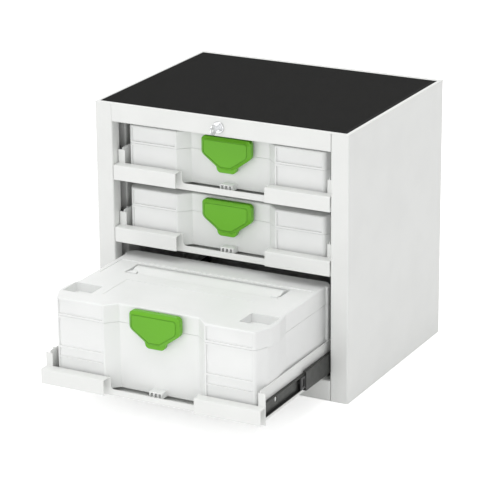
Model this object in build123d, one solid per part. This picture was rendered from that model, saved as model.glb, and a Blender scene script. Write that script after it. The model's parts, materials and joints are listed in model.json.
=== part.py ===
from build123d import *
import os

os.makedirs("parts", exist_ok=True)

# Tool cases, which decide the room that the cabinet gives them
case_half_width = 208.0
case_depth = 282.0
case_corner = 17.0
front_corner_across = 12.0
front_corner_slant = 2.25
front_corner_round = 10.0
lid_corner_swell = 4.5
case_wall = 3.5
case_shell = 6.5
case_set_back = 23.0
tall_case_height = 157.5
low_case_height = 99.0
lid_height = 34.0
seam_gap = 0.4
seat_gap = 0.3
recess_floor_half_width = 79.0
recess_flank = 21.0
recess_depth = 20.0
panel_from_recess = 2.5
panel_from_side = 16.0
panel_depth = 3.0
panel_height = 53.0
seam_rib = 3.5
side_field_depth = 3.0
side_field_front = 62.0
side_field_slope = 38.0
side_field_rear = 26.0
side_field_rise = 14.0
pocket_inner = 149.0
pocket_outer = 204.0
pocket_front = 35.0
pocket_back = 81.0
pocket_depth = 16.0
foot_height = 5.5
foot_play = 4.0
plate_half_width = 130.0
plate_front = 50.0
plate_back = 134.0
plate_depth = 0.6

# Lid hinge at the rear of a case
hinge_offset = 2.2
hinge_pin_radius = 2.0
knuckle_radius = 4.2
knuckle_clearance = 0.4
knuckle_root = 3.9
pin_clearance = 0.05
hinge_centre = 140.0
hinge_half_length = 30.0
lid_knuckle_half = 11.5

# Carrying handle in the lid
handle_half_length = 150.0
handle_pivot_y = 180.0
handle_pivot_drop = 5.8
handle_recess_depth = 13.5
handle_recess_front = 168.0
handle_recess_back = 219.0
handle_bar_front = 176.0
handle_bar_back = 214.0
handle_crown_back = 207.0
handle_bar_thickness = 10.8
handle_front_drop = 6.0
handle_side_gap = 6.0
handle_arm_width = 14.0
handle_zone_half_width = 195.0
handle_zone_front = 147.0
handle_zone_back = 226.0
handle_zone_depth = 1.2
trunnion_radius = 3.0

# Turning latch in the front recess
latch_half_width = 50.0
latch_top = 16.2
latch_shoulder = 17.0
latch_lobe_half_width = 19.0
latch_lobe_taper = 1.5
latch_lobe_top = 38.5
latch_bottom = 49.5
latch_slab = 10.0
latch_round = 1.0
latch_face_half_width = 44.3
latch_face_top = 10.5
latch_face_shoulder = 15.0
latch_face_chord = 11.0
latch_face_bottom = 38.0
latch_bevel = 3.8
latch_bevel_width = 4.8
latch_groove = 1.2
latch_groove_depth = 1.0
latch_pivot_rise = 17.5
latch_pivot_radius = 6.0
latch_boss_radius = 14.0
latch_finger_gap = 6.7
latch_back_gap = 1.0

# Small catch at the foot of the recess
catch_half_width = 13.0
catch_height = 10.5
catch_set_back = 3.0
catch_rim = 1.5
catch_pitch = 8.0
catch_slot = 4.2
catch_depth = 8.0

# Sheet steel of the cabinet
steel = 1.5
bend = 1.5
sheet_gap = 0.2
stile_width = 35.0
return_depth = 25.0
bottom_rail_height = 39.0
top_rail_height = 35.0
base_flange = 15.0
rim_width = 6.0
mat_thickness = 3.0
mat_margin_back = 12.0
mat_gap = 0.3

# Room round the cases and trays
case_side_gap = 0.5
slide_room = 10.0
bottom_gap = 8.0
middle_gap = 19.2
low_gap = 12.7
rail_gap = 8.7
behind_tray = 22.0
bottom_pull_out = 267.0

# Tray, in its closed place
tray_depth = 388.0
tray_gap = 1.5
lip_rise = 5.5
lip_height = 28.0
lip_depth = 20.0
lip_bend = 2.5
lip_inner_end = 90.0
lip_return = 4.0
low_edge_height = 11.8
low_edge_corner = 6.0
wall_height = 63.0
upstand_width = 13.5
upstand_height = 58.5
back_wall_height = 38.0
ear_from_front = 38.5
ear_top_drop = 1.0
ear_height = 12.0

# Telescopic slides, one each side of a tray
slide_length = 340.0
slide_centre_rise = 25.5
inner_half_height = 13.0
middle_half_height = 18.0
outer_half_height = 22.9
slide_steel = 1.2
inner_width = 6.5
middle_width = 6.4
outer_width = 8.2
middle_outer_step = 2.6
inner_set_back = 21.0
middle_set_back = 40.0
outer_set_back = 27.0
nose_length = 17.0
nose_frame = 4.0
ball_radius = 1.75
balls_per_row = 4
ball_pitch = 34.0
cage_thickness = 0.8
cage_half_width = 1.9
slot_from_front = 71.5
slot_rise = 4.0

# Screws that hold the slides
screw_radius = 2.0
screw_head_radius = 3.6
screw_head_height = 1.2
screw_recess_radius = 1.4
screw_clearance = 0.15

# Uprights that carry the fixed slide members
upright_width = 40.0
upright_foot = 10.0
front_upright_set_back = 55.0
rear_upright_set_back = 325.0

# Lock in the top rail, and the bar that it moves
lock_x = 0.0
lock_drop = 18.0
plug_radius = 7.0
housing_radius = 9.0
flange_radius = 11.0
flange_thickness = 3.0
housing_length = 27.0
lock_clearance = 0.05
cam_thickness = 2.5
cam_pin_radius = 2.5
bar_thickness = 3.0
bar_width = 12.0
bar_travel = 12.0
bar_foot = 40.0
arm_half_width = 8.0
finger_length = 13.0
finger_overlap = 5.0
finger_height = 8.0
finger_drop = 11.5
bar_gap = 1.0
guide_play = 0.4
guide_width = 18.0
bracket_height = 14.0
key_width = 8.0
key_thickness = 2.0
key_reach = 20.0
key_neck = 8.0
key_bow_radius = 10.0

# Planes that the pieces share
wall_outer = case_half_width + case_side_gap + steel
opening_half = wall_outer + slide_room
half_width = opening_half + stile_width
cabinet_depth = tray_depth + behind_tray
front = -cabinet_depth / 2
back = cabinet_depth / 2
case_lift = steel + seat_gap + foot_height
lip_top = lip_rise + lip_height
bottom_level = bottom_rail_height + bottom_gap
middle_level = bottom_level + case_lift + tall_case_height + middle_gap
top_level = middle_level + case_lift + low_case_height + low_gap
opening_top = top_level + case_lift + low_case_height + rail_gap
cabinet_height = opening_top + top_rail_height
lock_height = cabinet_height - lock_drop
mat_recess = mat_thickness - 0.3
tray_half = opening_half - tray_gap
recess_half_width = recess_floor_half_width + recess_flank
panel_inner = recess_half_width + panel_from_recess
panel_outer = case_half_width - panel_from_side
stack_inner = wall_outer
stack_middle = stack_inner + inner_width + slide_steel
stack_outer = stack_middle + slide_steel + middle_outer_step
upright_face = stack_outer + slide_steel
cam_pin_offset = bar_travel / 2**0.5
finger_tip = -(tray_half - steel - finger_overlap + bar_travel)
leg_edge = finger_tip - finger_length - bar_width
lock_bar_y = front + housing_length + flange_thickness + cam_thickness + 2 * bar_gap
levels = {"bottom": bottom_level, "middle": middle_level, "top": top_level}
pulls = {"bottom": bottom_pull_out, "middle": 0.0, "top": 0.0}
case_heights = {"bottom": tall_case_height, "middle": low_case_height, "top": low_case_height}


def block(x, y, z):
    """A rectangular solid between the given limits on each axis."""
    size = (x[1] - x[0], y[1] - y[0], z[1] - z[0])
    middle = ((x[0] + x[1]) / 2, (y[0] + y[1]) / 2, (z[0] + z[1]) / 2)
    return Pos(*middle) * Box(*size)


def rod_x(radius, x, y, z):
    """A round rod along X between the two X limits."""
    return Pos((x[0] + x[1]) / 2, y, z) * Rot(0, 90, 0) * Cylinder(radius, x[1] - x[0])


def rod_y(radius, x, y, z):
    """A round rod along Y between the two Y limits."""
    return Pos(x, (y[0] + y[1]) / 2, z) * Rot(90, 0, 0) * Cylinder(radius, y[1] - y[0])


def mirrored(solid):
    """The same piece on the other side of the cabinet."""
    return mirror(solid, about=Plane.YZ)


def folded(points, radii, length, thickness=steel, side=Side.LEFT):
    """Folded sheet: a section in XY with real bends, run along Z."""
    line = FilletPolyline(*points, radius=radii)
    outline = Wire(line.edges()).offset_2d(thickness, side=side)
    return extrude(Face(outline), length, dir=(0, 0, 1))


def along_y(solid, end):
    """Turns a section's X and Y to X and Z, and its run to -Y from the end."""
    return Plane(origin=(0, end, 0), x_dir=(1, 0, 0), z_dir=(0, -1, 0)) * solid


def along_x(solid, start):
    """Turns a section's X and Y to Y and Z, and its run to +X from the start."""
    return Plane(origin=(start, 0, 0), x_dir=(0, 1, 0), z_dir=(1, 0, 0)) * solid


def outline_y(face, y):
    """Stands a flat outline up in XZ and runs it along Y between the two limits."""
    return along_y(extrude(face, y[1] - y[0], dir=(0, 0, 1)), y[1])


def save(name, *solids):
    """Writes one node, as one solid or as a group of separate solids."""
    pieces = [piece for solid in solids for piece in solid.solids()]
    export_step(pieces[0] if len(pieces) == 1 else Compound(children=pieces), f"parts/{name}.step")


def side_panel():
    """Right side: outer sheet folded round the front stile and its return, with a rear flange."""
    height = cabinet_height - steel
    points = [
        (opening_half, front + return_depth),
        (opening_half, front),
        (half_width, front),
        (half_width, back - steel),
        (half_width - base_flange, back - steel),
    ]
    panel = folded(points, [bend + steel] * 3, height)
    inside = (opening_half - 1, half_width - steel)
    behind = (front + steel, back - steel + 1)
    pan_bottom = cabinet_height - mat_recess - steel
    panel -= block(inside, behind, (pan_bottom - sheet_gap, height + 1))
    return panel - block(inside, behind, (-1, steel + sheet_gap))


def top_panel():
    """Top sheet with a narrow rim round a shallow pan for the mat."""
    sheet = block((-half_width, half_width), (front, back), (cabinet_height - steel, cabinet_height))
    sheet = fillet(sheet.edges().group_by(Axis.Z)[-1], steel - 0.3)
    pan_x = half_width - rim_width
    pan_y = (front + rim_width, back - mat_margin_back)
    pan_floor = cabinet_height - mat_recess
    pan = block((-pan_x, pan_x), pan_y, (pan_floor - steel, cabinet_height - steel))
    hollow_x = pan_x - steel
    hollow = block((-hollow_x, hollow_x), (pan_y[0] + steel, pan_y[1] - steel), (pan_floor, cabinet_height))
    return sheet + pan - hollow


def top_mat():
    """Ribbed rubber mat that lies in the pan."""
    x = half_width - rim_width - steel - mat_gap
    y = (front + rim_width + steel + mat_gap, back - mat_margin_back - steel - mat_gap)
    bottom = cabinet_height - mat_recess
    mat = block((-x, x), y, (bottom, bottom + mat_thickness))
    return fillet(mat.edges().group_by(Axis.Z)[-1], 0.6)


def base_panel():
    """Base sheet with turned-up edges at the sides and the back."""
    x = half_width - steel - sheet_gap / 2
    points = [(-x, base_flange), (-x, 0), (x, 0), (x, base_flange)]
    end = back - 2 * steel - sheet_gap
    return along_y(folded(points, [bend + steel] * 2, end - front - steel), end)


def back_panel():
    """Flat sheet that closes the back."""
    return block((-half_width + bend, half_width - bend), (back - steel, back), (0, cabinet_height - steel))


def top_rail():
    """Front rail over the drawers, folded back at its lower edge, bored for the lock."""
    points = [
        (front, cabinet_height - steel),
        (front, opening_top),
        (front + return_depth, opening_top),
        (front + return_depth, opening_top + 5.0),
    ]
    rail = along_x(folded(points, [bend + steel] * 2, 2 * opening_half), -opening_half)
    hole = rod_y(housing_radius + 0.1, lock_x, (front - 1, front + steel + 1), lock_height)
    return rail - hole


def bottom_rail():
    """Front rail under the drawers, folded back at its upper edge."""
    points = [
        (front, steel),
        (front, bottom_rail_height),
        (front + return_depth, bottom_rail_height),
        (front + return_depth, bottom_rail_height - 10.0),
    ]
    section = folded(points, [bend + steel] * 2, 2 * opening_half, side=Side.RIGHT)
    return along_x(section, -opening_half)


def upright(set_back):
    """Hat-section post between the side panel and the slides."""
    y = (front + set_back, front + set_back + upright_width)
    side = half_width - steel
    points = [
        (side, y[0] - upright_foot),
        (side, y[0]),
        (upright_face + steel, y[0]),
        (upright_face + steel, y[1]),
        (side, y[1]),
        (side, y[1] + upright_foot),
    ]
    radii = [bend + steel, bend, bend, bend + steel]
    foot = base_flange + 1.0
    post = folded(points, radii, opening_top - foot)
    return Pos(0, 0, foot) * post


def screw_places(set_backs):
    """The Y places of the screws along a closed slide."""
    return [front + set_back for set_back in set_backs]


outer_screws = [front_upright_set_back + upright_width / 2, rear_upright_set_back + upright_width / 2]
inner_screws = [inner_set_back + slide_length * part for part in (0.42, 0.68, 0.95)]


def slide_channel(web_x, width, half_height, set_back, flange_in):
    """One C-section slide member; flange_in turns its open side towards the tray."""
    y = (front + set_back, front + set_back + slide_length)
    if flange_in:
        x = (web_x + slide_steel - width, web_x + slide_steel)
        hollow = (x[0] - 1, web_x)
    else:
        x = (web_x, web_x + width)
        hollow = (web_x + slide_steel, x[1] + 1)
    body = block(x, y, (-half_height, half_height))
    inside = half_height - slide_steel
    return body - block(hollow, (y[0] - 1, y[1] + 1), (-inside, inside))


def inner_member():
    """Slide member on the tray wall, with a slot near its front."""
    member = slide_channel(stack_inner, inner_width, inner_half_height, inner_set_back, False)
    slot = SlotCenterToCenter(4.0, 8.0, rotation=90)
    member -= along_x(Pos(front + slot_from_front, slot_rise) * extrude(slot, 4.0), stack_inner - 1)
    for y in screw_places(inner_screws):
        member -= rod_x(screw_radius + screw_clearance, (stack_inner - 1, stack_inner + 3), y, 0)
    return member


def middle_member():
    """Travelling slide member between the other two."""
    return slide_channel(stack_middle, middle_width, middle_half_height, middle_set_back, True)


def outer_member():
    """Fixed slide member on the uprights."""
    member = slide_channel(stack_outer, outer_width, outer_half_height, outer_set_back, True)
    for y in screw_places(outer_screws):
        member -= rod_x(screw_radius + screw_clearance, (stack_outer - 1, stack_outer + 3), y, 0)
    return member


def slide_catch():
    """Plastic nose at the front of the travelling member, inside the inner member."""
    x = (stack_inner + slide_steel + screw_head_height + 0.5, stack_middle)
    end = front + middle_set_back
    half = inner_half_height - slide_steel - 0.4
    nose = block(x, (end - nose_length, end + 12.0), (-half, half))
    nose = chamfer(nose.edges().filter_by(Axis.Z).group_by(Axis.Y)[0], 1.5)
    pocket_y = (end - nose_length + nose_frame, end - nose_frame)
    return nose - block((x[1] - 1.5, x[1] + 1), pocket_y, (-half + nose_frame, half - nose_frame))


def cage(centre_x, gap, set_back):
    """Thin strips above and below that carry a row of balls each."""
    solids = []
    rows = balls_per_row
    middle = front + set_back + slide_length / 2
    run = ball_pitch * (rows - 1) + 16.0
    low, high = gap
    z = (low + high) / 2
    for sign in (-1, 1):
        strip = block(
            (centre_x - cage_half_width, centre_x + cage_half_width),
            (middle - run / 2, middle + run / 2),
            (sign * z - cage_thickness / 2, sign * z + cage_thickness / 2),
        )
        for i in range(rows):
            y = middle + (i - (rows - 1) / 2) * ball_pitch
            strip -= Pos(centre_x, y, sign * z) * Cylinder(ball_radius + 0.05, 4.0)
            solids.append(Pos(centre_x, y, sign * z) * Sphere(ball_radius))
        solids.append(strip)
    return solids


def inner_cages():
    """Balls between the tray's slide member and the travelling one."""
    gap = (inner_half_height, middle_half_height - slide_steel)
    return cage(stack_inner + inner_width - 2.0, gap, (inner_set_back + middle_set_back) / 2)


def outer_cages():
    """Balls between the travelling slide member and the fixed one."""
    gap = (middle_half_height, outer_half_height - slide_steel)
    return cage(stack_middle - 1.2, gap, (middle_set_back + outer_set_back) / 2)


def pan_screw(x, y, shank):
    """Pan-head screw along X: the head stands at x on the slide's web, the shank goes to shank."""
    side = 1 if shank < x else -1
    top = x + side * screw_head_height
    head = rod_x(screw_head_radius, sorted((x, top)), y, 0)
    recess = rod_x(screw_recess_radius, sorted((top - side * 0.7, top + side)), y, 0)
    return head + rod_x(screw_radius, sorted((x, shank)), y, 0) - recess


def tray_lip(x):
    """Front lip between two X limits: a plate in front and a top that reaches back to the tray's sheet."""
    points = [(front, lip_rise), (front, lip_top), (front + lip_depth, lip_top)]
    section = folded(points, [lip_bend], x[1] - x[0], side=Side.RIGHT)
    return along_x(section, x[0])


def tray(side_holes=inner_screws):
    """One drawer tray at level zero: floor, walls, front sheet with a low centre, and two front lips."""
    points = [(-wall_outer, wall_height), (-wall_outer, 0), (wall_outer, 0), (wall_outer, wall_height)]
    y = (front + lip_depth - steel, front + tray_depth)
    body = along_y(folded(points, [bend + steel] * 2, y[1] - y[0]), y[1])
    inner = wall_outer - steel
    body += block((-inner, inner), (y[1] - steel, y[1]), (steel / 2, back_wall_height))
    gap = lip_inner_end - lip_return
    sheet = Pos(0, lip_top / 2) * Rectangle(2 * tray_half, lip_top)
    for sign in (-1, 1):
        stand_x = sign * (tray_half - upstand_width / 2)
        sheet += Pos(stand_x, upstand_height / 2) * Rectangle(upstand_width, upstand_height)
    sheet -= Pos(0, low_edge_height + lip_top) * RectangleRounded(2 * gap, 2 * lip_top, low_edge_corner)
    body += outline_y(sheet, (y[0], y[0] + steel))
    body += tray_lip((lip_inner_end, tray_half))
    body += tray_lip((-tray_half, -lip_inner_end))
    body += block(
        (-tray_half + steel, -wall_outer + steel / 2),
        (front + ear_from_front, front + ear_from_front + steel),
        (wall_height - ear_top_drop - ear_height, wall_height - ear_top_drop),
    )
    hole = screw_radius + screw_clearance
    for set_back in side_holes:
        body -= rod_x(hole, (-wall_outer - 1, wall_outer + 1), front + set_back, slide_centre_rise)
    return body


def lock_housing():
    """Fixed barrel of the lock, with a round flange on the rail."""
    barrel = rod_y(housing_radius, lock_x, (front, front + housing_length), lock_height)
    flange = rod_y(flange_radius, lock_x, (front - flange_thickness, front), lock_height)
    flange = fillet(flange.edges().group_by(Axis.Y)[0], 1.2)
    bore = rod_y(plug_radius + lock_clearance, lock_x, (front - 10, front + 40), lock_height)
    return barrel + flange - bore


def lock_nut():
    """Hexagonal nut that clamps the barrel to the rail."""
    y = (front + steel, front + steel + 5.0)
    nut = outline_y(Pos(lock_x, lock_height) * RegularPolygon(12.5, 6), y)
    return nut - rod_y(housing_radius + lock_clearance, lock_x, (front, front + 10), lock_height)


def lock_plug():
    """Turning plug with the keyway, and a square end for the cam."""
    y = (front - flange_thickness - 0.5, front + housing_length + 0.5)
    plug = rod_y(plug_radius, lock_x, y, lock_height)
    plug = fillet(plug.edges().group_by(Axis.Y)[0], 0.5)
    end = (y[1] - 0.1, y[1] + cam_thickness + 0.5)
    square = block((lock_x - 3, lock_x + 3), end, (lock_height - 3, lock_height + 3))
    keyway = block(
        (lock_x - key_thickness / 2 - 0.2, lock_x + key_thickness / 2 + 0.2),
        (y[0] - 1, y[0] + key_reach + 1),
        (lock_height - key_width / 2 - 0.2, lock_height + key_width / 2 + 0.2),
    )
    return plug + square - keyway


def lock_cam():
    """Flat cam with a pin, low on the left while the cabinet is open."""
    y = (front + housing_length + 0.7, front + housing_length + 0.7 + cam_thickness)
    offset = cam_pin_offset * 0.5**0.5
    disc = Pos(lock_x, lock_height) * Circle(8.0)
    lobe = Pos(lock_x - offset, lock_height - offset) * Circle(5.5)
    cam = outline_y(make_hull(disc.edges() + lobe.edges()), y)
    cam -= block((lock_x - 3, lock_x + 3), (y[0] - 1, y[1] + 1), (lock_height - 3, lock_height + 3))
    pin_y = (y[1] - 0.1, lock_bar_y + bar_thickness + 1.0)
    return cam + rod_y(cam_pin_radius, lock_x - offset, pin_y, lock_height - offset)


def key():
    """Key: blade in the keyway and a round bow with a ring hole."""
    y = front - flange_thickness - 0.5
    blade = block(
        (lock_x - key_thickness / 2, lock_x + key_thickness / 2),
        (y - key_neck, y + key_reach),
        (lock_height - key_width / 2, lock_height + key_width / 2),
    )
    bow_centre = y - key_neck - key_bow_radius + 2.0
    bow = Pos(lock_x, bow_centre, lock_height) * Rot(0, 90, 0) * Cylinder(key_bow_radius, key_thickness)
    hole = Pos(lock_x, bow_centre - 4.0, lock_height) * Rot(0, 90, 0) * Cylinder(2.5, 5)
    teeth = blade + bow - hole
    for i in range(3):
        start = y + 5.0 + i * 4.5
        teeth -= block((lock_x - 3, lock_x + 3), (start, start + 2.0), (lock_height + 2.6, lock_height + 6))
    return teeth


def lock_bar():
    """Flat bar cut from one sheet: an arm to the lock, a leg down the side and a finger per drawer."""
    leg_x = (leg_edge, leg_edge + bar_width)
    offset = cam_pin_offset * 0.5**0.5
    arm_z = (lock_height - cam_pin_offset - arm_half_width, lock_height - cam_pin_offset + arm_half_width)
    arm_end = lock_x - offset + arm_half_width
    arm = Pos((leg_x[0] + arm_end) / 2, sum(arm_z) / 2) * Rectangle(arm_end - leg_x[0], arm_z[1] - arm_z[0])
    leg_bottom = bottom_level + bar_foot
    leg = Pos(sum(leg_x) / 2, (leg_bottom + arm_z[1]) / 2) * Rectangle(bar_width, arm_z[1] - leg_bottom)
    plate = arm + leg
    for level in levels.values():
        low = level + wall_height - finger_drop
        finger = Rectangle(finger_length + 1.0, finger_height)
        plate += Pos(finger_tip - (finger_length + 1.0) / 2, low + finger_height / 2) * finger
    slot_low = lock_height - cam_pin_offset - cam_pin_radius - 0.6
    slot_high = lock_height - offset + cam_pin_radius + 0.6
    slot = Rectangle(2 * cam_pin_radius + bar_gap, slot_high - slot_low)
    plate -= Pos(lock_x - offset, (slot_low + slot_high) / 2) * slot
    return outline_y(plate, (lock_bar_y, lock_bar_y + bar_thickness))


def lock_bar_guides():
    """Folded brackets under the top sheet and on the side panel that the bar slides in."""
    guides = []
    under = cabinet_height - mat_recess - steel
    arm_low = lock_height - cam_pin_offset - arm_half_width
    behind = lock_bar_y + bar_thickness + guide_play
    ahead = lock_bar_y - guide_play - steel
    for part in (0.25, 0.75):
        points = [
            (behind + steel, under),
            (behind + steel, arm_low - guide_play - steel),
            (ahead, arm_low - guide_play - steel),
            (ahead, arm_low + arm_half_width),
        ]
        guide = folded(points, [0, 0], guide_width, side=Side.RIGHT)
        guides.append(along_x(guide, part * leg_edge))
    side = -(half_width - steel)
    for level in (bottom_level, middle_level):
        low = level + bar_foot + bracket_height / 2
        z = (low, low + bracket_height)
        flange = block((side, side + steel), (behind + steel - bracket_height, behind + steel), z)
        guides.append(flange + block((side, leg_edge + arm_half_width), (behind, behind + steel), z))
    return guides


def case_outline(swell=0.0, field=0.0):
    """Plan of a case: slanted front corners, round rear ones and a deep front recess; Y zero is its front.

    A swell widens the front corners, and a field is sunk in each side behind them.
    """
    wide = case_half_width + swell
    sunk = case_half_width - field
    right = [
        (case_half_width - front_corner_across, 0),
        (wide, (front_corner_across + swell) * front_corner_slant),
    ]
    if field:
        right += [
            (wide, side_field_front),
            (sunk, side_field_front + side_field_slope),
            (sunk, case_depth - side_field_rear),
            (case_half_width, case_depth - side_field_rear + field),
        ]
    right.append((case_half_width, case_depth))
    left = [(-x, y) for x, y in reversed(right)]
    plan = Polygon(*right, *left, align=None)
    plan = fillet(plan.vertices().group_by(Axis.Y)[-1], case_corner)
    ahead = side_field_front + side_field_slope + 1
    plan = fillet(plan.vertices().filter_by(lambda v: v.Y < ahead), front_corner_round)
    plan -= Polygon(
        (-recess_half_width - 1, -1),
        (recess_half_width + 1, -1),
        (recess_floor_half_width, recess_depth),
        (-recess_floor_half_width, recess_depth),
        align=None,
    )
    corners = plan.vertices().filter_by(lambda v: abs(v.X) < recess_half_width + 2)
    return fillet(corners, 3.0)


def case_inside():
    """Plan of the room inside a case."""
    return offset(case_outline(), -case_shell)


def knuckle_rods(radius, lid):
    """Rods on the hinge line where the lid's or the base's knuckles are."""
    rods = []
    y = case_depth + hinge_offset
    for centre in (-hinge_centre, hinge_centre):
        if lid:
            spans = [(centre - lid_knuckle_half, centre + lid_knuckle_half)]
        else:
            gap = lid_knuckle_half + knuckle_clearance
            spans = [(centre - hinge_half_length, centre - gap), (centre + gap, centre + hinge_half_length)]
        for span in spans:
            rods.append((radius, span, y))
    return rods


def front_panels(z):
    """Shallow sunk fields left and right of the recess between two heights."""
    panel = block((panel_inner, panel_outer), (-1, panel_depth), z)
    return panel + mirrored(panel)


def case_feet():
    """Four low feet that hold the case a little above its tray."""
    x = (pocket_inner + foot_play, pocket_outer - foot_play)
    length = pocket_back - pocket_front - 2 * foot_play
    feet = Part()
    for start in (pocket_front + foot_play, case_depth - pocket_back + foot_play):
        foot = block(x, (start, start + length), (-foot_height, 1.0))
        foot = fillet(foot.edges().filter_by(Axis.Z), 3.0)
        foot = chamfer(foot.edges().group_by(Axis.Z)[0], 1.0)
        feet += foot + mirrored(foot)
    return feet


def recess_catch():
    """Lug at the foot of the recess with three upright slots, for the latch of a case below."""
    lug_y = (catch_set_back, recess_depth + 1.0)
    lug = block((-catch_half_width, catch_half_width), lug_y, (0, catch_height))
    lug = chamfer(lug.edges().filter_by(Axis.X).group_by(Axis.Y)[0].sort_by(Axis.Z)[-1], 1.0)
    for x in (-catch_pitch, 0.0, catch_pitch):
        slot_x = (x - catch_slot / 2, x + catch_slot / 2)
        lug -= block(slot_x, (catch_set_back - 1, catch_set_back + catch_depth), (-1, catch_height - catch_rim))
    return lug


def case_base(height):
    """Hollow lower shell of a case with its front fields and hinge knuckles."""
    rise = height - lid_height
    shell = extrude(case_outline(), rise)
    shell = fillet(shell.edges().group_by(Axis.Z)[0], 2.0)
    fields = case_outline() - case_outline(field=side_field_depth)
    side_fields = Pos(0, 0, side_field_rise) * extrude(fields, rise)
    shell -= side_fields
    shell -= Pos(0, 0, case_wall) * extrude(case_inside(), rise)
    field_top = rise - seam_rib
    shell -= front_panels((field_top - panel_height, field_top))
    if height > low_case_height:
        middle_field = field_top - panel_height - seam_rib
        low_field = middle_field - 5 * seam_rib
        shell -= front_panels((low_field + seam_rib / 2, middle_field))
        shell -= front_panels((side_field_rise, low_field))
    shell += case_feet() + recess_catch()
    for radius, x, y in knuckle_rods(knuckle_radius, False):
        root = block(x, (case_depth - 1.0, y), (rise - knuckle_root, rise - seam_gap / 2))
        shell += rod_x(radius, x, y, rise) + root
    for radius, x, y in knuckle_rods(knuckle_radius + knuckle_clearance, True):
        shell -= rod_x(radius, (x[0] - knuckle_clearance, x[1] + knuckle_clearance), y, rise)
    for x in (-hinge_centre, hinge_centre):
        span = (x - hinge_half_length - 1, x + hinge_half_length + 1)
        shell -= rod_x(hinge_pin_radius + pin_clearance, span, case_depth + hinge_offset, rise)
    return shell


def lid_pockets(grown, low, high):
    """Front corner pockets for the feet of a case on top, grown all round by a wall."""
    pocket = block(
        (pocket_inner - grown, pocket_outer + grown),
        (pocket_front - grown, pocket_back + grown),
        (low, high),
    )
    return pocket + mirrored(pocket)


def case_lid(height):
    """Lid shell: label fields, handle recess, stacking pockets and hinge knuckles."""
    rise = height - lid_height
    plan = case_outline(lid_corner_swell, side_field_depth)
    body = Pos(0, 0, rise + seam_gap) * extrude(plan, lid_height - seam_gap)
    body = fillet(body.edges().group_by(Axis.Z)[-1], 3.0)
    recess_half = handle_half_length + handle_side_gap
    ceiling = height - case_wall
    room = Pos(0, 0, rise) * extrude(case_inside(), ceiling - rise)
    well = block(
        (-recess_half - case_wall, recess_half + case_wall),
        (handle_recess_front - case_wall, handle_recess_back + case_wall),
        (height - handle_recess_depth - case_wall, height),
    )
    pockets = lid_pockets(case_wall, height - pocket_depth - case_wall, height)
    body -= room - well - pockets
    body -= lid_pockets(0, height - pocket_depth, height + 1)
    body -= block(
        (-handle_zone_half_width, handle_zone_half_width),
        (handle_zone_front, handle_zone_back),
        (height - handle_zone_depth, height + 1),
    )
    body -= block(
        (-plate_half_width, plate_half_width),
        (plate_front, plate_back),
        (height - plate_depth, height + 1),
    )
    body -= block(
        (-recess_half, recess_half),
        (handle_recess_front, handle_recess_back),
        (height - handle_recess_depth, height + 1),
    )
    body -= rod_x(
        trunnion_radius + pin_clearance,
        (-recess_half - case_wall - 0.5, recess_half + case_wall + 0.5),
        handle_pivot_y,
        height - handle_pivot_drop,
    )
    body -= front_panels((rise + seam_rib + seam_gap, height - 4.0))
    for radius, x, y in knuckle_rods(knuckle_radius + knuckle_clearance, False):
        body -= rod_x(radius, (x[0] - knuckle_clearance, x[1] + knuckle_clearance), y, rise)
    for radius, x, y in knuckle_rods(knuckle_radius, True):
        root = block(x, (case_depth - 1.0, y), (rise + seam_gap, rise + knuckle_root))
        body += rod_x(radius, x, y, rise) + root
    for x in (-hinge_centre, hinge_centre):
        span = (x - hinge_half_length - 1, x + hinge_half_length + 1)
        body -= rod_x(hinge_pin_radius + pin_clearance, span, case_depth + hinge_offset, rise)
    through = (recess_depth - 1, recess_depth + case_shell + 1)
    return body - rod_y(latch_pivot_radius + pin_clearance, 0, through, height - latch_pivot_rise)


def hinge_pins(height):
    """Two steel pins on the lid's hinge line."""
    rise = height - lid_height
    y = case_depth + hinge_offset
    return [
        rod_x(hinge_pin_radius, (x - hinge_half_length, x + hinge_half_length), y, rise)
        for x in (-hinge_centre, hinge_centre)
    ]


def case_handle(height):
    """Broad grip bar with a crowned rear edge and a sloping front, on two moulded trunnions."""
    pivot_z = height - handle_pivot_drop
    low = pivot_z - trunnion_radius - 2.0
    high = low + handle_bar_thickness
    section = Polygon(
        (handle_bar_front, low),
        (handle_bar_back, low),
        (handle_bar_back, high - 3.0),
        (handle_crown_back, high),
        (handle_crown_back - 8.0, high),
        (handle_bar_front, high - handle_front_drop),
        align=None,
    )
    section = fillet(section.vertices().group_by(Axis.Y)[-1], 3.0)
    bar = along_x(extrude(section, 2 * handle_half_length, dir=(0, 0, 1)), -handle_half_length)
    for sign in (-1, 1):
        x = (handle_half_length - handle_arm_width, handle_half_length)
        arm = rod_x(trunnion_radius + 2.0, x, handle_pivot_y, pivot_z)
        trunnion_end = x[1] + handle_side_gap + case_wall - seat_gap
        arm += rod_x(trunnion_radius, (x[1] - 1, trunnion_end), handle_pivot_y, pivot_z)
        bar += arm if sign > 0 else mirrored(arm)
    return bar


def latch_outline():
    """Front shape of the latch about its pivot: straight sides, sloping shoulders, rounded lobe."""
    right = [
        (latch_lobe_half_width - latch_lobe_taper, -latch_bottom),
        (latch_lobe_half_width + latch_lobe_taper, -latch_lobe_top),
        (latch_half_width, -latch_shoulder),
        (latch_half_width, latch_top),
    ]
    left = [(-x, z) for x, z in reversed(right)]
    shape = Polygon(*right, *left, align=None)
    radii = {latch_bottom: 8.0, latch_lobe_top: 5.0, latch_shoulder: 12.0, -latch_top: 8.0}
    for height, radius in radii.items():
        shape = fillet(shape.vertices().filter_by(lambda v: abs(v.Y + height) < 0.1), radius)
    return shape


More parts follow.
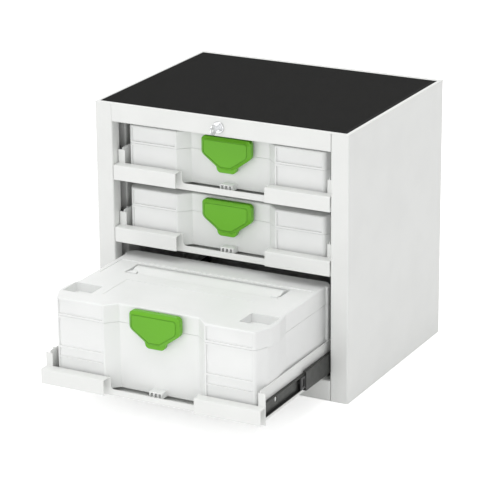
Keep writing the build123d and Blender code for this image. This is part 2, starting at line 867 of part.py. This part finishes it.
def latch_face():
    """The six-sided flat of the latch about its pivot."""
    right = [
        (latch_face_chord, -latch_face_bottom),
        (latch_face_half_width, -latch_face_shoulder),
        (latch_face_half_width, latch_face_top),
    ]
    left = [(-x, z) for x, z in reversed(right)]
    shape = Polygon(*right, *left, align=None)
    radii = {latch_face_bottom: 6.0, latch_face_shoulder: 10.0, -latch_face_top: 5.0}
    for height, radius in radii.items():
        shape = fillet(shape.vertices().filter_by(lambda v: abs(v.Y + height) < 0.1), radius)
    return shape


def latch(height):
    """Turning latch: a slab that stands off the recess for the fingers, a bevelled face, a boss behind."""
    pivot_z = height - latch_pivot_rise
    slab_back = recess_depth - latch_finger_gap
    slab_front = slab_back - latch_slab
    slab = outline_y(latch_outline(), (slab_front, slab_back))
    slab = fillet(slab.edges().group_by(Axis.Y)[0], latch_round)
    face = latch_face()
    bevel = loft([offset(face, latch_bevel_width), Pos(0, 0, latch_bevel) * face])
    ring = face - offset(face, -latch_groove)
    ring = extrude(ring, 2 * latch_groove_depth, dir=(0, 0, 1))
    groove = Pos(0, 0, latch_bevel - latch_groove_depth) * ring
    body = slab + along_y(bevel - groove, slab_front)
    boss_back = recess_depth - latch_back_gap
    body += rod_y(latch_boss_radius, 0, (slab_back - 1.0, boss_back), 0)
    body = Pos(0, 0, pivot_z) * body
    socket_y = (slab_back - 1.0, boss_back + 1)
    return body - rod_y(latch_pivot_radius + pin_clearance, 0, socket_y, pivot_z)


def latch_pivot(height):
    """Stud that carries the latch in the lid's front wall."""
    start = recess_depth - latch_finger_gap - 0.8
    return rod_y(latch_pivot_radius, 0, (start, recess_depth + case_shell), height - latch_pivot_rise)


def place(solids, level, pull=0.0):
    """Puts pieces of a drawer at its level and pulled out from its closed place."""
    solids = solids if isinstance(solids, list) else [solids]
    return [Pos(0, -pull, level) * solid for solid in solids]


def both(solids):
    """A list of pieces with their mirror images."""
    solids = solids if isinstance(solids, list) else [solids]
    return solids + [mirrored(solid) for solid in solids]


def save_cabinet():
    """The fixed pieces of the cabinet, and its lock."""
    save("right_side_panel", side_panel())
    save("left_side_panel", mirrored(side_panel()))
    save("top_panel", top_panel())
    save("top_mat", top_mat())
    save("base_panel", base_panel())
    save("back_panel", back_panel())
    save("top_rail", top_rail())
    save("bottom_rail", bottom_rail())
    posts = both([upright(front_upright_set_back), upright(rear_upright_set_back)])
    reach = half_width - upright_foot
    for level in levels.values():
        for y in screw_places(outer_screws):
            hole = rod_x(screw_radius + screw_clearance, (-reach, reach), y, level + slide_centre_rise)
            posts = [post - hole for post in posts]
    save("slide_uprights", *posts)
    save("lock_housing", lock_housing())
    save("lock_nut", lock_nut())
    save("lock_plug", lock_plug())
    save("lock_cam", lock_cam())
    save("key", key())
    save("lock_bar", lock_bar())
    save("lock_bar_guides", *lock_bar_guides())


def save_drawer(name):
    """The tray and slides of one drawer."""
    level = levels[name]
    pull = pulls[name]
    centre = level + slide_centre_rise
    save(f"{name}_tray", *place(tray(), level, pull))
    save(f"{name}_slide_inner", *place(both(inner_member()), centre, pull))
    save(f"{name}_slide_middle", *place(both(middle_member()), centre, pull / 2))
    save(f"{name}_slide_outer", *place(both(outer_member()), centre))
    save(f"{name}_slide_catches", *place(both(slide_catch()), centre, pull / 2))
    save(f"{name}_inner_ball_cages", *place(both(inner_cages()), centre, pull * 0.75))
    save(f"{name}_outer_ball_cages", *place(both(outer_cages()), centre, pull * 0.25))
    web = stack_inner + slide_steel
    screws = [pan_screw(web, y, wall_outer - steel + 0.1) for y in screw_places(inner_screws)]
    save(f"{name}_slide_screws", *place(both(screws), centre, pull))


def save_case(name):
    """The base, lid, handle, latch and pins of one case, on its tray."""
    height = case_heights[name]
    floor = levels[name] + case_lift
    offset_y = case_set_back + front

    def put(solids):
        return place(solids, floor, pulls[name] - offset_y)

    save(f"{name}_case_base", *put(case_base(height)))
    save(f"{name}_case_lid", *put(case_lid(height)))
    save(f"{name}_case_handle", *put(case_handle(height)))
    save(f"{name}_case_latch", *put(latch(height)))
    save(f"{name}_latch_pivot", *put(latch_pivot(height)))
    save(f"{name}_hinge_pins", *put(hinge_pins(height)))


def save_outer_screws():
    """Screws of the fixed slide members, in the uprights."""
    screws = []
    for level in levels.values():
        for y in screw_places(outer_screws):
            screw = pan_screw(stack_outer, y, upright_face + steel + 2.0)
            screws += place(both(screw), level + slide_centre_rise)
    save("outer_slide_screws", *screws)


save_cabinet()
save_outer_screws()
for drawer in levels:
    save_drawer(drawer)
    save_case(drawer)
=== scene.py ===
import json
import math

import bpy
from mathutils import Matrix, Vector


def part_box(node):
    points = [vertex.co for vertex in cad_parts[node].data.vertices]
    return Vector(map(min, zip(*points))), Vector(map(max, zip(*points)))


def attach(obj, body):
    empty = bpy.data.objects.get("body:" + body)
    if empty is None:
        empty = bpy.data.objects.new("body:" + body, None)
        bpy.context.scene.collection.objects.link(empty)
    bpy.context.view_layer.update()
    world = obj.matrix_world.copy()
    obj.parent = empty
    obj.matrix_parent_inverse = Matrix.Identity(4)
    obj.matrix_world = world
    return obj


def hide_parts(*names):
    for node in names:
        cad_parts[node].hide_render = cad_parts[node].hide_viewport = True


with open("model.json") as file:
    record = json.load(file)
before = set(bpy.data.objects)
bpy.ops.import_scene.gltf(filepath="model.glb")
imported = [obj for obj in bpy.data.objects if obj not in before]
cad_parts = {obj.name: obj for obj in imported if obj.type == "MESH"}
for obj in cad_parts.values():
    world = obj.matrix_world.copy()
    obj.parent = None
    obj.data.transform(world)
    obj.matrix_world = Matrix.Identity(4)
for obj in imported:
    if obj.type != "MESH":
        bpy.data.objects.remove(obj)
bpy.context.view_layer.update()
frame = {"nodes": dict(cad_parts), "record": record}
MM = 0.001

# How bright the surround is as a lamp, and how far the floor near the object is lifted towards white
SURROUND = 0.64
FLOOR_LIFT = 0.5
FLOOR_HALF = 12.0
FADE_START = 0.6
FADE_END = 2.4

# The photograph's viewpoint
AZIMUTH = math.radians(28.0)
ELEVATION = math.radians(18.8)
ROLL = math.radians(-0.55)
DISTANCE = 4.5512
LOOK_AT = Vector((-0.0655, -0.005, 0.201))
SENSOR_WIDTH = 36.0
FOCAL_PIXELS = 2413.9
PICTURE_PIXELS = 480

# Rubber mat
MAT_BORDER = 5.0 * MM
RIB_PITCH = 3.2 * MM
RIB_DEPTH = 0.6 * MM


def linear(code):
    """A linear colour from an sRGB hex code."""
    parts = [int(code[i:i + 2], 16) / 255 for i in (1, 3, 5)]
    parts = [c / 12.92 if c <= 0.04045 else ((c + 0.055) / 1.055) ** 2.4 for c in parts]
    return (*parts, 1.0)


def add(owner, kind, links=None, **settings):
    """Adds one node to a material or the surround, sets its values and links its inputs."""
    tree = owner.node_tree
    made = tree.nodes.new(kind)
    for name, value in settings.items():
        if hasattr(made, name) and not name[0].isupper():
            setattr(made, name, value)
        else:
            made.inputs[name.replace("_", " ")].default_value = value
    for name, source in (links or {}).items():
        tree.links.new(source, made.inputs[name])
    return made


def new_material(name, **surface):
    """A material with one principled surface, and the surface's node."""
    material = bpy.data.materials.new(name)
    material.use_nodes = True
    shader = material.node_tree.nodes["Principled BSDF"]
    for socket, value in surface.items():
        shader.inputs[socket.replace("_", " ")].default_value = value
    return material, shader


def join(owner, source, target, socket):
    """Links a node's output to an input of another node."""
    owner.node_tree.links.new(source, target.inputs[socket])


def rounded_normal(material, bump, radius_mm):
    """Softens hard edges by a small radius under the bump, as paint and moulding do."""
    edge = add(material, "ShaderNodeBevel", samples=4, Radius=radius_mm * MM)
    join(material, edge.outputs["Normal"], bump, "Normal")


def tone_of(material, place, code, darkest, size_mm):
    """A colour that drifts slowly between the base tone and a slightly darker one."""
    drift = add(material, "ShaderNodeTexNoise", {"Vector": place}, Scale=1.0 / (size_mm * MM), Detail=3.0)
    ramp = add(material, "ShaderNodeValToRGB", {"Fac": drift.outputs["Fac"]})
    base = linear(code)
    low, high = ramp.color_ramp.elements
    low.position, high.position = 0.35, 0.65
    low.color = tuple(c * darkest for c in base[:3]) + (1.0,)
    high.color = base
    return ramp.outputs["Color"]


def powder_coated_steel(name, code):
    """Sheet steel with a baked powder coat: fine orange peel in a half gloss, rounded paint at the edges."""
    peel_mm = 1.1
    material, shader = new_material(name, Coat_Weight=0.12, Coat_Roughness=0.3, IOR=1.5)
    place = add(material, "ShaderNodeTexCoord").outputs["Object"]
    join(material, tone_of(material, place, code, 0.97, 70.0), shader, "Base Color")
    peel = add(material, "ShaderNodeTexNoise", {"Vector": place}, Scale=1.0 / (peel_mm * MM), Detail=2.0)
    gloss = add(material, "ShaderNodeMapRange", {"Value": peel.outputs["Fac"]}, To_Min=0.36, To_Max=0.5)
    join(material, gloss.outputs["Result"], shader, "Roughness")
    bump = add(material, "ShaderNodeBump", {"Height": peel.outputs["Fac"]}, Strength=0.15, Distance=0.1 * MM)
    rounded_normal(material, bump, 0.5)
    join(material, bump.outputs["Normal"], shader, "Normal")
    return material


def moulded_plastic(name, code, grain_mm, rough, depth_mm, edge_mm=0.6, gloss=0.5):
    """Injection-moulded plastic: spark-eroded grain, soft gloss, a faint drift of tone and rounded edges."""
    material, shader = new_material(name, IOR=1.53, Specular_IOR_Level=gloss)
    place = add(material, "ShaderNodeTexCoord").outputs["Object"]
    join(material, tone_of(material, place, code, 0.96, 90.0), shader, "Base Color")
    cells = add(material, "ShaderNodeTexVoronoi", {"Vector": place}, Scale=1.0 / (grain_mm * MM))
    fine = add(material, "ShaderNodeTexNoise", {"Vector": place}, Scale=2.4 / (grain_mm * MM), Detail=3.0)
    both = {0: cells.outputs["Distance"], 1: fine.outputs["Fac"]}
    height = add(material, "ShaderNodeMath", both, operation="ADD").outputs["Value"]
    spread = {"To_Min": rough - 0.06, "To_Max": rough + 0.06}
    wear = add(material, "ShaderNodeMapRange", {"Value": fine.outputs["Fac"]}, **spread)
    join(material, wear.outputs["Result"], shader, "Roughness")
    bump = add(material, "ShaderNodeBump", {"Height": height}, Strength=0.25, Distance=depth_mm * MM)
    rounded_normal(material, bump, edge_mm)
    join(material, bump.outputs["Normal"], shader, "Normal")
    return material


def plated_metal(name, code, rough, metallic=1.0, drawn=(1.0, 0.05, 1.0)):
    """Plated steel: fine marks drawn out along the part, and small clouds in the gloss."""
    material, shader = new_material(name, Metallic=metallic, Anisotropic=0.2)
    place = add(material, "ShaderNodeTexCoord").outputs["Object"]
    along = add(material, "ShaderNodeMapping", {"Vector": place}, Scale=drawn).outputs["Vector"]
    noise = add(material, "ShaderNodeTexNoise", {"Vector": along}, Scale=1.0 / (0.5 * MM), Detail=4.0)
    marks = noise.outputs["Fac"]
    join(material, tone_of(material, place, code, 0.8, 12.0), shader, "Base Color")
    gloss = add(material, "ShaderNodeMapRange", {"Value": marks}, To_Min=rough - 0.05, To_Max=rough + 0.1)
    join(material, gloss.outputs["Result"], shader, "Roughness")
    bump = add(material, "ShaderNodeBump", {"Height": marks}, Strength=0.12, Distance=0.05 * MM)
    rounded_normal(material, bump, 0.3)
    join(material, bump.outputs["Normal"], shader, "Normal")
    return material


# Powder coat: an even light grey that barely shines, with a slight orange peel where light grazes it
cabinet_paint = powder_coated_steel("light_grey_powder_coat", "#E9EAE8")
tray_paint = powder_coated_steel("tray_powder_coat", "#EBECEA")
# Moulded ABS: matt and paler than the steel, with a fine grain that blurs every reflection
case_abs = moulded_plastic("light_grey_moulded_abs", "#EFF0EF", 0.7, 0.42, 0.04)
# The same plastic in clear green, smoother, so that its bevels read as crisp edges
latch_abs = moulded_plastic("green_moulded_abs", "#66B01A", 0.6, 0.36, 0.03, gloss=0.35)
# Rubber: nearly black and dull, seen mostly by the shade between its ribs
mat_rubber = moulded_plastic("black_ribbed_rubber", "#141413", 0.8, 0.78, 0.08, edge_mm=0.2, gloss=0.15)
# Acetal noses of the slides: dense black with a soft sheen
black_acetal = moulded_plastic("black_acetal", "#141414", 0.5, 0.4, 0.02, edge_mm=0.3)
# Black zinc: dark grey metal with smoky clouds and fine rolling marks
black_zinc = plated_metal("black_zinc_steel", "#4A4B49", 0.45, metallic=0.8)
# Bright zinc: cool silvery screws, balls and bar with fine marks
bright_zinc = plated_metal("bright_zinc_steel", "#C9CBCC", 0.3)
# Chrome: a near mirror on the lock and key
lock_chrome = plated_metal("polished_chrome", "#DADBDC", 0.12, drawn=(1.0, 1.0, 1.0))

FINISHES = {
    "cabinet_steel": cabinet_paint,
    "tray_steel": tray_paint,
    "rubber_mat": mat_rubber,
    "slide_steel": black_zinc,
    "slide_plastic": black_acetal,
    "bright_steel": bright_zinc,
    "lock_chrome": lock_chrome,
    "case_plastic": case_abs,
    "latch_plastic": latch_abs,
}


def dress_nodes():
    """Gives every CAD node the finish of its material slot."""
    for part in frame["record"]["subparts"]:
        piece = frame["nodes"][part["node"]]
        piece.data.materials.clear()
        piece.data.materials.append(FINISHES[part["material_slot"]])


def new_piece(name, vertices, faces, slot, body, replaced=()):
    """A mesh piece with the finish of its slot, riding on a body and standing for CAD nodes."""
    mesh = bpy.data.meshes.new(name)
    mesh.from_pydata(vertices, [], faces)
    mesh.validate()
    mesh.update()
    piece = bpy.data.objects.new(name, mesh)
    bpy.context.scene.collection.objects.link(piece)
    mesh.materials.append(FINISHES[slot])
    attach(piece, body)
    if replaced:
        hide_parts(*replaced)
    return piece


def ribbed_mat():
    """Rubber mat with fine flat ribs and slanted grooves from front to back, inside a plain border."""
    low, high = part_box("top_mat")
    top = high[2]
    groove_floor = top - RIB_DEPTH
    count = int((high[0] - low[0] - 2 * MAT_BORDER) / RIB_PITCH)
    start = (low[0] + high[0] - count * RIB_PITCH) / 2
    profile = [(low[0], low[2]), (low[0], groove_floor), (low[0] + RIB_DEPTH, top), (start, top)]
    for i in range(count):
        x = start + i * RIB_PITCH
        profile.append((x + 0.12 * RIB_PITCH, groove_floor))
        profile.append((x + 0.38 * RIB_PITCH, groove_floor))
        profile.append((x + 0.5 * RIB_PITCH, top))
        profile.append((x + RIB_PITCH, top))
    profile += [(high[0] - RIB_DEPTH, top), (high[0], groove_floor), (high[0], low[2])]
    ends = (low[1], low[1] + RIB_DEPTH, high[1] - RIB_DEPTH, high[1])
    vertices, faces = [], []
    for row, y in enumerate(ends):
        highest = groove_floor if row in (0, 3) else top
        vertices += [(x, y, min(z, highest)) for x, z in profile]
    n = len(profile)
    for row in range(len(ends) - 1):
        for i in range(n - 1):
            a = row * n + i
            faces.append((a, a + n, a + n + 1, a + 1))
    faces.append(tuple(range(n)))
    faces.append(tuple(reversed(range(3 * n, 4 * n))))
    faces.append((0, n - 1, 4 * n - 1, 3 * n))
    return new_piece("ribbed_mat", vertices, faces, "rubber_mat", "cabinet", ["top_mat"])


dress_nodes()
ribbed_mat()


def make_camera():
    """The photograph's viewpoint: from the right, slightly above, with a long lens."""
    back = Vector((
        math.sin(AZIMUTH) * math.cos(ELEVATION),
        -math.cos(AZIMUTH) * math.cos(ELEVATION),
        math.sin(ELEVATION),
    ))
    level_right = Vector((math.cos(AZIMUTH), math.sin(AZIMUTH), 0.0))
    level_up = back.cross(level_right)
    right = level_right * math.cos(ROLL) + level_up * math.sin(ROLL)
    up = level_up * math.cos(ROLL) - level_right * math.sin(ROLL)
    turn = Matrix((right, up, back)).transposed().to_4x4()
    lens = bpy.data.cameras.new("studio_camera")
    lens.sensor_width = SENSOR_WIDTH
    lens.lens = SENSOR_WIDTH * FOCAL_PIXELS / PICTURE_PIXELS
    lens.clip_start = 0.1
    lens.clip_end = 60.0
    camera = bpy.data.objects.new("studio_camera", lens)
    camera.matrix_world = Matrix.Translation(LOOK_AT + back * DISTANCE) @ turn
    bpy.context.scene.collection.objects.link(camera)
    bpy.context.scene.camera = camera


def seen_directly(owner):
    """One where the eye, a mirror or clear glass looks at a surface, and zero for the light it gives."""
    path = add(owner, "ShaderNodeLightPath")
    found = path.outputs["Is Camera Ray"]
    for ray in ("Is Glossy Ray", "Is Transmission Ray"):
        either = add(owner, "ShaderNodeMath", {0: found, 1: path.outputs[ray]}, operation="MAXIMUM")
        found = either.outputs["Value"]
    return found


def make_floor():
    """White studio paper that keeps the object's shadow and fades into the white surround."""
    mesh = bpy.data.meshes.new("studio_floor")
    half = FLOOR_HALF
    corners = [(-half, -half, 0), (half, -half, 0), (half, half, 0), (-half, half, 0)]
    mesh.from_pydata(corners, [], [(0, 1, 2, 3)])
    floor = bpy.data.objects.new("studio_floor", mesh)
    bpy.context.scene.collection.objects.link(floor)
    paper, shader = new_material("studio_paper", Roughness=0.9, Base_Color=linear("#FFFFFF"))
    shader.inputs["Emission Color"].default_value = linear("#FFFFFF")
    place = add(paper, "ShaderNodeTexCoord").outputs["Object"]
    away = add(paper, "ShaderNodeVectorMath", {"Vector": place}, operation="LENGTH")
    lift = add(
        paper,
        "ShaderNodeMapRange",
        {"Value": away.outputs["Value"]},
        From_Min=FADE_START,
        From_Max=FADE_END,
        To_Min=FLOOR_LIFT,
        To_Max=1.0,
    )
    strength = add(
        paper,
        "ShaderNodeMath",
        {0: lift.outputs["Result"], 1: seen_directly(paper)},
        operation="MULTIPLY",
    )
    join(paper, strength.outputs["Value"], shader, "Emission Strength")
    mesh.materials.append(paper)


def area_lamp(name, place, aim, size, power):
    """A square soft lamp that points at the given place."""
    lamp = bpy.data.lights.new(name, "AREA")
    lamp.shape = "SQUARE"
    lamp.size = size
    lamp.energy = power
    made = bpy.data.objects.new(name, lamp)
    made.location = place
    made.rotation_mode = "QUATERNION"
    made.rotation_quaternion = (Vector(aim) - Vector(place)).to_track_quat("-Z", "Y")
    bpy.context.scene.collection.objects.link(made)


def make_light():
    """Broad soft light from the front and from above, and a surround that reads white."""
    world = bpy.data.worlds.new("studio_surround")
    bpy.context.scene.world = world
    world.use_nodes = True
    ground = world.node_tree.nodes["Background"]
    ground.inputs["Color"].default_value = (1.0, 1.0, 1.0, 1.0)
    level = add(world, "ShaderNodeMapRange", {"Value": seen_directly(world)}, To_Min=SURROUND, To_Max=1.0)
    join(world, level.outputs["Result"], ground, "Strength")
    area_lamp("key_lamp", (-0.5, -3.5, 1.2), (0, -0.1, 0.2), 2.2, 14.0)
    area_lamp("fill_lamp", (1.5, -3.2, 0.8), (0, -0.2, 0.2), 2.0, 9.0)
    area_lamp("top_lamp", (-0.2, -0.6, 3.0), (0, -0.1, 0.3), 2.4, 34.0)


make_camera()
make_floor()
make_light()

bpy.context.scene.view_settings.view_transform = "Standard"
